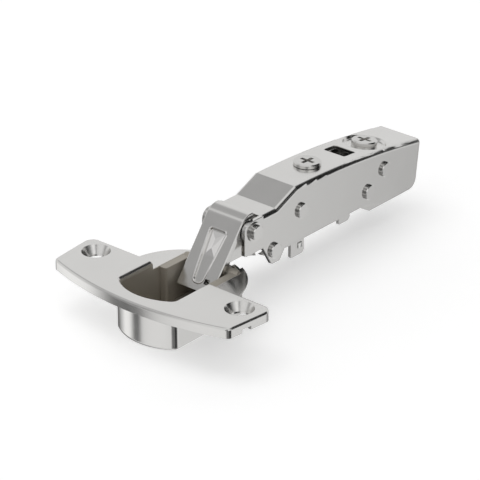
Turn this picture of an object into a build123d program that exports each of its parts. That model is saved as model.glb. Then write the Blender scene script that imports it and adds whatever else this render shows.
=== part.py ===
from build123d import *
from math import asin, atan2, cos, degrees, hypot, radians, sin, sqrt
import os

# Concealed cup hinge. X runs along the two screws, Y points from the cup to the arm, Z is up.
# The origin is on the cup axis, at the door face on which the screw flange lies.

# Cup and flange
sheet = 1.1
cup_radius = 17.45
cup_flat = 10.8
cup_depth = 12.0
cup_floor_round = 1.0
cup_corner = 2.4
flange_top = 3.0
flange_overhang = 7.3
flange_lean = 1.7
flange_back = 0.2
flange_front = 21.6
flange_bow = 96.0
flange_back_corner = 3.0
flange_front_corner = 2.2
flange_edge_round = 0.7
flange_bend = 1.5
screw_spacing = 52.0
screw_line = -5.5
screw_radius = 2.75
screw_sink_radius = 4.1
screw_sink_angle = 58.0
screw_boss_radius = 4.9
rim_notch_width = 3.2
rim_notch_height = 1.1
rim_notch_place = -9.9
lip_radius = 18.4
lip_top = 0.5
lip_gap_half = 8.0
rear_slot_half = 5.0
rear_slot_floor = -0.6

# Axle cradle pressed into the cup
cradle_inner_half = 7.4
cradle_front = 2.5
cradle_web = 0.7
cradle_corner = 0.6
cradle_boss_radius = 1.85
cradle_boss_inner_half = 5.2
seat_clearance = 0.05

# Pivots, seen from the side as (y, z)
lower_pivot_setback = 7.45
inner_pivot_setback = 4.05
lower_pivot = (cup_radius - lower_pivot_setback, -4.5)
inner_pivot = (cup_radius - inner_pivot_setback, -0.85)
front_rivet = (22.2, 9.1)
ear_rivet = (30.4, 0.4)
lever_rivet = (42.2, 8.25)
seat_rivet = (72.3, 3.0)
tail_rivet = (79.7, 7.6)

# Pins
axle_radius = 1.25
inner_axle_radius = 1.15
axle_reach = 9.3
axle_edge = 0.2
rivet_radius = 1.25
rivet_head_radius = 2.25
rivet_head = 0.9
front_head_radius = 2.2
rivet_head_edge = 0.18
washer_radius = 2.85
washer_thickness = 0.45
running_fit = 0.05
clearance = 0.3

# Outer link
link_side_gap = 0.25
link_sheet = 1.5
link_lug = 1.2
link_hood_radius = 5.1
link_foot_radius = 3.7
link_foot_extra = 2.8
link_hood_end = 80.0
link_eye_radius = 2.9
link_foot_eye = 2.4
link_lug_reach = 4.2
link_edge_round = 0.3
panel_top = 3.4
panel_length = 15.4
panel_top_half = 2.9
panel_low_half = 1.5
panel_depth = 0.45
panel_round = 0.8
panel_draft = 20.0
panel_rim = 0.5
panel_rim_height = 0.16
panel_rim_draft = 35.0
facet_edge = 0.55
facet_foot_half = 1.75
facet_length = 7.0
facet_height = 0.34
facet_draft = 76.0
foot_notch = (3.15, 17.95)
foot_notch_size = (1.7, 1.5)

# Inner link
inner_side_gap = 0.75
inner_sheet = 1.3
inner_eye_radius = 1.85
inner_tail_radius = 2.9
inner_shoulder = 7.6
inner_knee = (23.5, 6.6)
inner_bridge_front = 15.6
inner_bridge_rear = 20.5
inner_round = 0.8
inner_under = 1.2
slot_back = 2.42
slot_ahead = 0.54
slot_half = 1.87

# Arm
arm_half = 7.75
arm_sheet = 1.15
arm_front = 17.8
arm_nose_round = 3.0
arm_nose_low = 2.8
arm_nose_low_round = 0.8
arm_throat = 25.6
arm_under_front = 34.9
ear_tip_rear = (32.6, -3.6)
ear_tip_front = (29.3, -3.6)
ear_round = 0.7
arm_pad_front = 25.2
arm_pad_top = 12.6
arm_crank_start = 31.5
arm_crank_end = 40.0
arm_top = 16.2
arm_mid = (70.0, 14.85)
arm_rear = (96.2, 11.4)
arm_rear_low = (94.2, -3.2)
arm_rear_corner = 3.2
arm_step = (78.5, 69.0)
arm_under = -0.5
arm_bend = 1.3
window_front = 65.8
window_rear = 71.0
window_half = 3.8
window_corner = 0.6
dimple_radius = 6.0
dimple_depth = 0.8
dimple_wall = 0.7
dimple_draft = 30.0

# Adjusting channel and clip carriage
channel_gap = 0.3
channel_sheet = 1.0
channel_front = 37.0
channel_rear = 92.0
channel_low = -1.9
channel_tail_low = -4.4
channel_step = (70.3, 74.6)
channel_top = 9.4
channel_tail_top = 8.2
channel_web = (47.0, 61.0, 10.4)
keyhole_run = 5.2
channel_tilt = 2.4
carriage_sheet = 1.0
carriage_front = 38.5
carriage_rear = 90.0
carriage_floor = -2.1
carriage_floor_rear = 68.2
carriage_rail_half = 2.9
carriage_step = 69.8
carriage_bridge = (75.0, 85.0, 9.9)
carriage_tail_top = 7.5
carriage_travel = 1.5
front_tab = (40.8, 46.6, -7.2)
hook_tab = (62.2, 67.2, -4.7)
tab_round = 1.4

# Adjusting screws
side_screw_y = 53.9
side_head_radius = 4.0
side_head = 1.1
side_head_lift = 0.1
side_shank_radius = 2.4
side_neck_radius = 1.7
side_foot_radius = 2.6
side_foot = 1.0
web_travel = 1.15
depth_screw_y = 79.8
depth_head_radius = 3.8
depth_head = 1.7
screw_head_edge = 0.3
depth_neck_radius = 2.6
depth_neck_length = 1.2
cam_radius = 1.0
cam_offset = 1.6
cam_length = 2.1
cam_play = 0.5
cam_swing = 60.0
cross_length = 4.6
cross_width = 1.1
cross_depth = 0.9
cross_taper = 8.0

# Spring, damper and lever inside the arm
store_height = 3.3
store_offset = 1.9
seat_side_gap = 0.4
seat_reach = 4.3
seat_length = 7.0
seat_base = -0.6
seat_roof = 5.6
seat_round = 0.6
cylinder_radius = 1.75
cylinder_bore = 1.25
cylinder_wall = 0.6
cylinder_front = 50.6
rod_radius = 0.7
rod_length = 12.5
piston_radius = 1.1
piston_length = 2.0
cap_radius = 1.75
cap_length = 6.0
cap_end = 1.0
cap_play = 0.1
stem_radius = 0.65
stem_length = 14.0
spring_radius = 1.15
spring_wire = 0.5
spring_turns = 7
wire_sides = 8
lever_side_gap = 0.9
lever_boss = 2.8
lever_neck = 1.4
lever_tip = (43.8, 2.85)
lever_tip_radius = 1.3
roller_axis = (36.9, 8.2)
roller_radius = 1.9
roller_half = 1.4
roller_edge = 0.2
lever_fork_half = 3.0
roller_pin_radius = 0.7
fork_round = 1.5

# Release lever at the rear
release_side_gap = 0.8
release_boss = 1.8
release_saddle = 0.9
release_tail = (93.0, 5.2)
release_hook = (86.0, -3.4)
release_arm = 1.4
release_round = 1.0
release_seat = 5.2
release_spring_y = 89.0
release_spring_radius = 1.5
release_spring_wire = 0.5
release_spring_turns = 3

# How near an edge lies to a plane to be picked with it
near = 0.01

# Values worked out from the sizes above
flange_half = screw_spacing / 2 + flange_overhang
flange_front_half = flange_half - flange_lean
cup_inner_radius = cup_radius - sheet
cup_inner_flat = cup_flat - sheet
arm_inner_half = arm_half - arm_sheet
channel_half = arm_inner_half - channel_gap
channel_inner_half = channel_half - channel_sheet
carriage_half = channel_inner_half - channel_gap
carriage_inner_half = carriage_half - carriage_sheet
link_half = arm_inner_half - link_side_gap
inner_half = link_half - link_lug - inner_side_gap
lever_half = channel_inner_half - lever_side_gap
seat_half = carriage_inner_half - seat_side_gap
release_half = carriage_inner_half - release_side_gap
cylinder_rear = seat_rivet[0] - seat_reach
push_face = lever_tip[0] + lever_tip_radius + clearance
spring_front = push_face + cap_end + clearance

pivot_run = front_rivet[0] - lower_pivot[0]
pivot_rise = front_rivet[1] - lower_pivot[1]
pivot_span = hypot(pivot_run, pivot_rise)
link_angle = degrees(atan2(pivot_rise, pivot_run) + asin((link_hood_radius - link_foot_radius) / pivot_span))
link_along = (cos(radians(link_angle)), sin(radians(link_angle)))
link_normal = (-link_along[1], link_along[0])

back_curve = ThreePointArc((0, arm_crank_end, arm_top), (0, *arm_mid), (0, *arm_rear))
back_centre = back_curve.arc_center
back_radius = back_curve.radius

os.makedirs("parts", exist_ok=True)


def shifted(point, along, ahead, out):
    """Point moved by ahead along a direction and by out across it, to its left."""
    return (point[0] + along[0] * ahead - along[1] * out, point[1] + along[1] * ahead + along[0] * out)


def polar(centre, radius, angle):
    """Point on a circle in the side view."""
    return (centre[0] + radius * cos(radians(angle)), centre[1] + radius * sin(radians(angle)))


def arm_top_at(y):
    """Height of the arm's curved back at a place along the arm."""
    return back_centre.Z + sqrt(back_radius**2 - (y - back_centre.Y) ** 2)


def pin_hole(place, radius, half):
    """Cylinder across the hinge, used to bore a pin hole through a part."""
    with BuildPart(mode=Mode.PRIVATE) as bore:
        with BuildSketch(Plane.YZ):
            with Locations(place):
                Circle(radius)
        extrude(amount=half, both=True)
    return bore.part


def outline(points, rounds=()):
    """Flat outline through the points, with some corners rounded: (corner number, radius)."""
    with BuildSketch(mode=Mode.PRIVATE) as flat:
        with BuildLine():
            Polyline(*points, close=True)
        make_face()
        for corner, radius in rounds:
            fillet(flat.vertices().sort_by_distance((*points[corner], 0))[0], radius)
    return flat.sketch


def rod(place, radius, half, edge=0.0):
    """Round bar across the hinge, its ends broken by a small chamfer."""
    with BuildPart(mode=Mode.PRIVATE) as bar:
        with BuildSketch(Plane.YZ):
            with Locations(place):
                Circle(radius)
        extrude(amount=half, both=True)
        if edge:
            chamfer(bar.edges().filter_by(GeomType.CIRCLE), edge)
    return bar.part


def rivet(place, shank, head_from, head_radius, head_height):
    """Rivet across the hinge: a shank between two heads whose rims are broken."""
    with BuildPart(mode=Mode.PRIVATE) as pin:
        with BuildSketch(Plane.YZ):
            with Locations(place):
                Circle(shank)
        extrude(amount=head_from, both=True)
        for side in (-1, 1):
            with BuildSketch(Plane.YZ.offset(side * head_from)):
                with Locations(place):
                    Circle(head_radius)
            extrude(amount=side * head_height)
        chamfer(pin.faces().sort_by(Axis.X)[0].edges() + pin.faces().sort_by(Axis.X)[-1].edges(), rivet_head_edge)
    return pin.part


def back_plane(y):
    """Plane that touches the arm's curved back at a place along the arm."""
    lean = (y - back_centre.Y) / back_radius
    return Plane(origin=(0, y, arm_top_at(y)), x_dir=(1, 0, 0), z_dir=(0, lean, sqrt(1 - lean**2)))


def station(y):
    """Plane square to the arm at a place along it, with z as its first direction and x as its second."""
    return Plane(origin=(0, y, 0), x_dir=(0, 0, 1), z_dir=(0, 1, 0))


def channel_bend_edges(part):
    """Edges where the channel's walls fold into its web."""
    top = channel_web[2] + channel_sheet
    top_edges = part.edges().filter_by_position(Axis.Z, top - near, top + near)
    return [edge for edge in top_edges if abs(edge.center().X) > channel_half - near]


def cross_recess(half_depth):
    """Cross for a screwdriver, tapering downwards, to be cut into a screw's head."""
    with BuildPart(mode=Mode.PRIVATE) as cross:
        with BuildSketch():
            Rectangle(cross_length, cross_width)
            Rectangle(cross_width, cross_length)
        extrude(amount=-2 * half_depth, taper=cross_taper)
    return cross.part


# Plan outlines of the flange and the cup
with BuildSketch() as wing_plan:
    bow_centre = flange_bow - flange_front
    front_corner = bow_centre - sqrt(flange_bow**2 - flange_front_half**2)
    with BuildLine():
        Line((flange_half, flange_back), (flange_front_half, front_corner))
        ThreePointArc((flange_front_half, front_corner), (0, -flange_front), (-flange_front_half, front_corner))
        Line((-flange_front_half, front_corner), (-flange_half, flange_back))
        Line((-flange_half, flange_back), (flange_half, flange_back))
    make_face()
    fillet(wing_plan.vertices().group_by(Axis.Y)[-1], flange_back_corner)
    fillet(wing_plan.vertices().group_by(Axis.Y)[0], flange_front_corner)

with BuildSketch() as pot_plan:
    Circle(cup_radius)
    Rectangle(2 * cup_flat, 2 * cup_radius, mode=Mode.INTERSECT)
    fillet(pot_plan.vertices(), cup_corner)

with BuildSketch() as well_plan:
    Circle(cup_inner_radius)
    Rectangle(2 * cup_inner_flat, 2 * cup_radius, mode=Mode.INTERSECT)
    fillet(well_plan.vertices(), cup_corner - sheet)

with BuildPart() as cup:
    # Wings with a rim turned down all round
    with BuildSketch():
        add(wing_plan.sketch)
    extrude(amount=flange_top)
    with BuildSketch():
        offset(wing_plan.sketch, -sheet)
    extrude(amount=flange_top - sheet, mode=Mode.SUBTRACT)
    # Deep pressed seats of the two screws
    with Locations((-screw_spacing / 2, screw_line), (screw_spacing / 2, screw_line)):
        Cylinder(screw_boss_radius, flange_top - sheet / 2, align=(Align.CENTER, Align.CENTER, Align.MIN))
    # Pot under the flange, its collar in front and its thin lip behind
    with BuildSketch(Plane.XY.offset(-cup_depth)):
        add(pot_plan.sketch)
    extrude(amount=cup_depth + lip_top)
    fillet(cup.faces().sort_by(Axis.Z)[0].edges(), cup_floor_round)
    with BuildSketch():
        add(pot_plan.sketch)
        with Locations((0, flange_back)):
            Rectangle(4 * cup_radius, 4 * cup_radius, align=(Align.CENTER, Align.MIN), mode=Mode.SUBTRACT)
    extrude(amount=flange_top - sheet / 2)
    with BuildSketch():
        Circle(lip_radius)
        with Locations((0, flange_back)):
            Rectangle(2 * lip_radius, 2 * lip_radius, align=(Align.CENTER, Align.MIN), mode=Mode.INTERSECT)
        with Locations((0, cup_inner_radius)):
            Rectangle(2 * lip_gap_half, 2 * sheet * 4, mode=Mode.SUBTRACT)
        add(pot_plan.sketch)
        with Locations((0, -cup_radius)):
            Rectangle(4 * cup_radius, 2 * (cup_radius + flange_back), mode=Mode.SUBTRACT)
    extrude(amount=lip_top)
    # Well of the cup
    with BuildSketch(Plane.XY.offset(-cup_depth + sheet)):
        add(well_plan.sketch)
    extrude(amount=cup_depth + flange_top, mode=Mode.SUBTRACT)
    with BuildSketch(Plane.XY.offset(lip_top)):
        with Locations((0, flange_back)):
            Rectangle(2 * cup_inner_flat, 2 * cup_radius, align=(Align.CENTER, Align.MIN))
    extrude(amount=flange_top, mode=Mode.SUBTRACT)
    # Notch in the rear wall for the inner link
    with BuildSketch(Plane.XY.offset(rear_slot_floor)):
        with Locations((0, cup_radius)):
            Rectangle(2 * rear_slot_half, 4 * sheet)
    extrude(amount=flange_top, mode=Mode.SUBTRACT)
    # Rounded bend from the wings into the well
    well_edges = cup.edges().filter_by_position(Axis.Z, flange_top - near, flange_top + near)
    well_edges = well_edges.filter_by_position(Axis.X, -cup_inner_flat - near, cup_inner_flat + near)
    well_edges = well_edges.filter_by_position(Axis.Y, -cup_inner_radius - near, flange_back - sheet)
    fillet(well_edges, flange_bend)
    outer_edges = [
        edge
        for edge in cup.faces().sort_by(Axis.Z)[-1].edges()
        if abs(edge.center().X) > cup_radius or edge.center().Y < -cup_radius - flange_bend
    ]
    fillet(outer_edges, flange_edge_round)
    # Screw holes and rim notches
    with Locations(Plane.XY.offset(flange_top)):
        with Locations((-screw_spacing / 2, screw_line), (screw_spacing / 2, screw_line)):
            CounterSinkHole(screw_radius, screw_sink_radius, 2 * flange_top, screw_sink_angle)
    with Locations((-flange_half, rim_notch_place), (flange_half, rim_notch_place)):
        Box(4 * sheet, rim_notch_width, 2 * rim_notch_height, mode=Mode.SUBTRACT)
cup.part.label = "cup"
export_step(cup.part, "parts/cup.step")


# Cradle: two cheeks on a thin floor plate, with bosses for the axle of the inner link
with BuildPart() as axle_cradle:
    cradle_floor = -cup_depth + sheet
    boss_top = inner_pivot[1] + cradle_boss_radius
    with BuildSketch(Plane.XY.offset(cradle_floor)):
        offset(well_plan.sketch, -seat_clearance)
        with Locations((0, cradle_front)):
            Rectangle(2 * cup_radius, 2 * cup_radius, align=(Align.CENTER, Align.MIN), mode=Mode.INTERSECT)
    extrude(amount=boss_top - cradle_floor)
    with BuildSketch(Plane.YZ):
        with Locations((0, lip_top)):
            Rectangle(4 * cup_radius, 2 * cup_depth, align=(Align.CENTER, Align.MIN))
        with Locations(inner_pivot):
            Circle(cradle_boss_radius, mode=Mode.SUBTRACT)
    extrude(amount=cup_radius, both=True, mode=Mode.SUBTRACT)
    with BuildSketch(Plane.YZ):
        with Locations((0, cradle_floor + cradle_web)):
            Rectangle(4 * cup_radius, 2 * cup_depth, align=(Align.CENTER, Align.MIN))
        with Locations(inner_pivot):
            Circle(cradle_boss_radius, mode=Mode.SUBTRACT)
    extrude(amount=cradle_inner_half, both=True, mode=Mode.SUBTRACT)
    with BuildSketch(Plane.XY.offset(cradle_floor + cradle_web)):
        Rectangle(2 * cradle_boss_inner_half, 4 * cup_radius)
    extrude(amount=2 * cup_depth, mode=Mode.SUBTRACT)
    add(pin_hole(lower_pivot, axle_radius, cup_radius), mode=Mode.SUBTRACT)
    add(pin_hole(inner_pivot, inner_axle_radius, cradle_inner_half), mode=Mode.SUBTRACT)
    front_corners = axle_cradle.edges().filter_by(Axis.Z).group_by(Axis.Y)[0]
    inner_corners = front_corners.filter_by_position(Axis.X, -cradle_inner_half - near, cradle_inner_half + near)
    fillet(inner_corners, cradle_corner)
axle_cradle.part.label = "axle_cradle"
export_step(axle_cradle.part, "parts/axle_cradle.step")


# The axles of the two links
with BuildPart() as outer_link_axle:
    add(rod(lower_pivot, axle_radius, axle_reach, axle_edge))
outer_link_axle.part.label = "outer_link_axle"
export_step(outer_link_axle.part, "parts/outer_link_axle.step")

with BuildPart() as inner_link_axle:
    add(rod(inner_pivot, inner_axle_radius, cradle_inner_half, axle_edge))
inner_link_axle.part.label = "inner_link_axle"
export_step(inner_link_axle.part, "parts/inner_link_axle.step")

# Spacer washers between the outer link and the cheeks
with BuildPart() as axle_spacers:
    spacer_gap = (cradle_inner_half - link_half) / 4
    for side in (-1, 1):
        with BuildSketch(Plane.YZ.offset(side * (link_half + cradle_inner_half) / 2)):
            with Locations(lower_pivot):
                Circle(link_foot_eye - running_fit)
                Circle(axle_radius, mode=Mode.SUBTRACT)
        extrude(amount=(cradle_inner_half - link_half) / 2 - spacer_gap, both=True)
axle_spacers.part.label = "axle_spacers"
export_step(axle_spacers.part, "parts/axle_spacers.step")


def lug_profile(pin, eye, out, low, high):
    """Lug from a strap, whose middle lies out from the pin, down to a round eye about the pin."""
    with BuildSketch(mode=Mode.PRIVATE) as lug:
        with BuildLine():
            Polyline(
                shifted(pin, link_along, low, out),
                shifted(pin, link_along, -eye, 0),
                shifted(pin, link_along, eye, 0),
                shifted(pin, link_along, high, out),
                close=True,
            )
        make_face()
        with Locations(pin):
            Circle(eye)
    return lug.sketch


# Outer link: a broad strap with a rolled hood, a tapered panel and lugs for the two pins
link_back_radius = link_hood_radius - link_sheet
face_top = shifted(front_rivet, link_along, 0, link_hood_radius)
face_foot = shifted(lower_pivot, link_along, -link_foot_extra, link_foot_radius)
back_top = shifted(front_rivet, link_along, 0, link_back_radius)
back_foot = shifted(lower_pivot, link_along, -link_foot_extra, link_foot_radius - link_sheet)
hood_middle = (90 + link_angle + link_hood_end) / 2
strap_face = Plane(origin=(0, *face_top), x_dir=(1, 0, 0), z_dir=(0, *link_normal))

panel_plan = outline(
    [
        (-panel_top_half, -panel_top),
        (panel_top_half, -panel_top),
        (panel_low_half, -panel_top - panel_length),
        (-panel_low_half, -panel_top - panel_length),
    ],
    [(0, panel_round), (1, panel_round), (2, panel_low_half * 0.9), (3, panel_low_half * 0.9)],
)
facet_plan = outline(
    [
        (-panel_top_half + facet_edge, -panel_top - facet_edge),
        (panel_top_half - facet_edge, -panel_top - facet_edge),
        (facet_foot_half, -panel_top - facet_edge - facet_length),
        (-facet_foot_half, -panel_top - facet_edge - facet_length),
    ]
)

with BuildPart() as outer_link:
    with BuildSketch(Plane.YZ):
        with BuildLine():
            Line(face_foot, face_top)
            ThreePointArc(
                face_top,
                polar(front_rivet, link_hood_radius, hood_middle),
                polar(front_rivet, link_hood_radius, link_hood_end),
            )
            Line(
                polar(front_rivet, link_hood_radius, link_hood_end),
                polar(front_rivet, link_back_radius, link_hood_end),
            )
            ThreePointArc(
                polar(front_rivet, link_back_radius, link_hood_end),
                polar(front_rivet, link_back_radius, hood_middle),
                back_top,
            )
            Line(back_top, back_foot)
            Line(back_foot, face_foot)
        make_face()
    extrude(amount=link_half, both=True)
    strap_edges = outer_link.faces().filter_by(GeomType.PLANE).sort_by(Axis((0, 0, 0), strap_face.z_dir))[-1].edges()
    fillet([edge for edge in strap_edges if abs(edge.center().X) > link_half / 2], link_edge_round)
    with BuildSketch(Plane.YZ.offset(link_half - link_lug)):
        add(lug_profile(front_rivet, link_eye_radius, link_hood_radius - link_sheet / 2, -link_lug_reach, 0))
        add(lug_profile(lower_pivot, link_foot_eye, link_foot_radius - link_sheet / 2, -link_sheet, link_lug_reach))
    lugs = extrude(amount=link_lug)
    mirror(lugs, about=Plane.YZ)
    for place, radius in ((front_rivet, rivet_radius), (lower_pivot, axle_radius)):
        add(pin_hole(place, radius + running_fit, 2 * link_half), mode=Mode.SUBTRACT)
    # Tapered panel pressed into the face, with a raised rim round it and a hipped facet in its upper half
    with BuildSketch(strap_face):
        offset(panel_plan, panel_rim)
    extrude(amount=panel_rim_height, taper=panel_rim_draft)
    with BuildSketch(strap_face.offset(panel_rim_height)):
        add(panel_plan)
    extrude(amount=-panel_depth - panel_rim_height, taper=panel_draft, mode=Mode.SUBTRACT)
    with BuildSketch(strap_face.offset(-panel_depth)):
        add(facet_plan)
    extrude(amount=facet_height, taper=facet_draft)
    # Small notch beside the foot
    with BuildSketch(strap_face):
        with Locations((foot_notch[0], -foot_notch[1])):
            Rectangle(*foot_notch_size)
    extrude(amount=-link_sheet, mode=Mode.SUBTRACT)
outer_link.part.label = "outer_link"
export_step(outer_link.part, "parts/outer_link.step")


# Inner link: a small folded channel from its axle in the cup to the arm's ears
inner_run = (ear_rivet[0] - inner_pivot[0], ear_rivet[1] - inner_pivot[1])
inner_span = hypot(*inner_run)
inner_along = (inner_run[0] / inner_span, inner_run[1] / inner_span)
inner_angle = degrees(atan2(inner_along[1], inner_along[0]))
slot_centre = shifted(ear_rivet, inner_along, (slot_ahead - slot_back) / 2, 0)
tail_centre = shifted(ear_rivet, inner_along, slot_ahead, 0)
inner_outline = [
    shifted(inner_pivot, link_along, 0, inner_eye_radius),
    shifted(inner_pivot, link_along, inner_shoulder, inner_eye_radius),
    inner_knee,
    shifted(tail_centre, inner_along, 0, inner_tail_radius),
    shifted(tail_centre, inner_along, 0, -inner_tail_radius),
    (inner_bridge_rear, inner_under),
    (inner_bridge_front, inner_under),
    shifted(inner_pivot, link_along, 0, -inner_eye_radius * 0.6),
]

with BuildPart() as inner_link:
    with BuildSketch(Plane.YZ):
        add(outline(inner_outline, [(1, inner_round), (2, inner_round), (5, inner_round)]))
        with Locations(inner_pivot):
            Circle(inner_eye_radius)
        with Locations(tail_centre):
            Circle(inner_tail_radius)
    extrude(amount=inner_half, both=True)
    with BuildSketch(Plane.YZ):
        add(outline([(y, z - inner_sheet) for y, z in inner_outline[1:4]] + [
            (tail_centre[0] + 2 * inner_tail_radius, tail_centre[1]),
            (tail_centre[0] + 2 * inner_tail_radius, -3 * inner_tail_radius),
            (inner_pivot[0] - 2 * inner_eye_radius, -3 * inner_tail_radius),
            (inner_pivot[0] - 2 * inner_eye_radius, inner_pivot[1] - inner_eye_radius),
        ]))
    extrude(amount=inner_half - inner_sheet, both=True, mode=Mode.SUBTRACT)
    add(pin_hole(inner_pivot, inner_axle_radius + running_fit, 2 * inner_half), mode=Mode.SUBTRACT)
    with BuildSketch(Plane.YZ):
        with Locations(Location(slot_centre, inner_angle)):
            SlotCenterToCenter(slot_ahead + slot_back, 2 * slot_half)
    extrude(amount=2 * inner_half, both=True, mode=Mode.SUBTRACT)
inner_link.part.label = "inner_link"
export_step(inner_link.part, "parts/inner_link.step")


# Arm: a long cranked channel whose front ears stand free of its back
ear_points = [
    (arm_under_front, arm_under),
    ear_tip_rear,
    ear_tip_front,
    (arm_throat, arm_nose_low),
]

with BuildPart() as hinge_arm:
    with BuildSketch(Plane.YZ) as arm_side:
        with BuildLine():
            Polyline((arm_pad_front, arm_pad_top), (arm_crank_start, arm_pad_top), (arm_crank_end, arm_top))
            ThreePointArc((arm_crank_end, arm_top), arm_mid, arm_rear)
            Polyline(
                arm_rear,
                arm_rear_low,
                (arm_step[0], arm_rear_low[1]),
                (arm_step[1], arm_under),
                *ear_points,
                (arm_pad_front, arm_nose_low),
                (arm_pad_front, arm_pad_top),
            )
        make_face()
        fillet(arm_side.vertices().sort_by_distance((*arm_rear_low, 0))[0], arm_rear_corner)
        for tip in (ear_tip_rear, ear_tip_front):
            fillet(arm_side.vertices().sort_by_distance((*tip, 0))[0], ear_round)
    extrude(amount=arm_half, both=True)
    back_edges = [
        edge
        for edge in hinge_arm.edges()
        if abs(edge.center().X) > arm_half - near and edge.center().Z > arm_rear[1]
        and edge.length > 2 * arm_bend and edge.center().Y > arm_pad_front + arm_sheet
    ]
    fillet(back_edges, arm_bend)
    # Inside of the channel
    with BuildSketch(Plane.YZ):
        with BuildLine():
            inner_top = arm_pad_top - arm_sheet
            Polyline(
                (arm_pad_front - arm_sheet, inner_top),
                (arm_crank_start + arm_sheet / 3, inner_top),
                (arm_crank_end + arm_sheet / 4, arm_top - arm_sheet),
            )
            ThreePointArc(
                (arm_crank_end + arm_sheet / 4, arm_top - arm_sheet),
                (arm_mid[0], arm_mid[1] - arm_sheet),
                (arm_rear[0] + arm_sheet, arm_rear[1] - arm_sheet * 1.1),
            )
            Polyline(
                (arm_rear[0] + arm_sheet, arm_rear[1] - arm_sheet * 1.1),
                (arm_rear[0] + arm_sheet, -2 * arm_pad_top),
                (arm_pad_front - arm_sheet, -2 * arm_pad_top),
                (arm_pad_front - arm_sheet, inner_top),
            )
        make_face()
    extrude(amount=arm_inner_half, both=True, mode=Mode.SUBTRACT)
    # Ears in front of the back, around the outer link
    with BuildSketch(Plane.YZ.offset(arm_inner_half)):
        add(
            outline(
                [
                    (arm_pad_front + arm_sheet / 2, arm_pad_top),
                    (arm_front, arm_pad_top),
                    (arm_front, arm_nose_low),
                    (arm_pad_front + arm_sheet / 2, arm_nose_low),
                ],
                [(1, arm_nose_round), (2, arm_nose_low_round)],
            )
        )
    ears = extrude(amount=arm_sheet)
    mirror(ears, about=Plane.YZ)
    for place in (front_rivet, ear_rivet, lever_rivet, seat_rivet, tail_rivet):
        add(pin_hole(place, rivet_radius, 2 * arm_half), mode=Mode.SUBTRACT)
    # Window between the adjusting screws
    with BuildSketch():
        with Locations((0, (window_front + window_rear) / 2)):
            RectangleRounded(2 * window_half, window_rear - window_front, window_corner)
    extrude(amount=2 * arm_top, mode=Mode.SUBTRACT)
    # Pressed dimple of the rear screw, and the holes of both screws
    with BuildSketch(back_plane(depth_screw_y).offset(-dimple_depth - dimple_wall)):
        Circle(dimple_radius + dimple_wall)
    extrude(amount=dimple_wall + dimple_depth / 2)
    with BuildSketch(back_plane(depth_screw_y).offset(-dimple_depth)):
        Circle(dimple_radius)
    extrude(amount=3 * dimple_depth, taper=-dimple_draft, mode=Mode.SUBTRACT)
    for place, radius in ((side_screw_y, side_shank_radius), (depth_screw_y, depth_neck_radius)):
        with BuildSketch(back_plane(place).offset(-arm_pad_top / 2)):
            Circle(radius + running_fit)
        extrude(amount=arm_pad_top, mode=Mode.SUBTRACT)
hinge_arm.part.label = "hinge_arm"
export_step(hinge_arm.part, "parts/hinge_arm.step")


# Rivets across the arm, and the washers that show round the front one
head_seat = arm_half + washer_thickness
with BuildPart() as front_pivot_rivet:
    add(rivet(front_rivet, rivet_radius, head_seat, front_head_radius, rivet_head))
front_pivot_rivet.part.label = "front_pivot_rivet"
export_step(front_pivot_rivet.part, "parts/front_pivot_rivet.step")

with BuildPart() as pivot_washers:
    for side in (-1, 1):
        with BuildSketch(Plane.YZ.offset(side * arm_half)):
            with Locations(front_rivet):
                Circle(washer_radius)
                Circle(rivet_radius, mode=Mode.SUBTRACT)
        extrude(amount=side * washer_thickness)
pivot_washers.part.label = "pivot_washers"
export_step(pivot_washers.part, "parts/pivot_washers.step")

with BuildPart() as inner_pivot_rivet:
    add(rivet(ear_rivet, rivet_radius, arm_half, rivet_head_radius, rivet_head))
inner_pivot_rivet.part.label = "inner_pivot_rivet"
export_step(inner_pivot_rivet.part, "parts/inner_pivot_rivet.step")

with BuildPart() as arm_rivets:
    for place in (lever_rivet, seat_rivet, tail_rivet):
        add(rivet(place, rivet_radius, arm_half, rivet_head_radius, rivet_head))
arm_rivets.part.label = "arm_rivets"
export_step(arm_rivets.part, "parts/arm_rivets.step")


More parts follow.
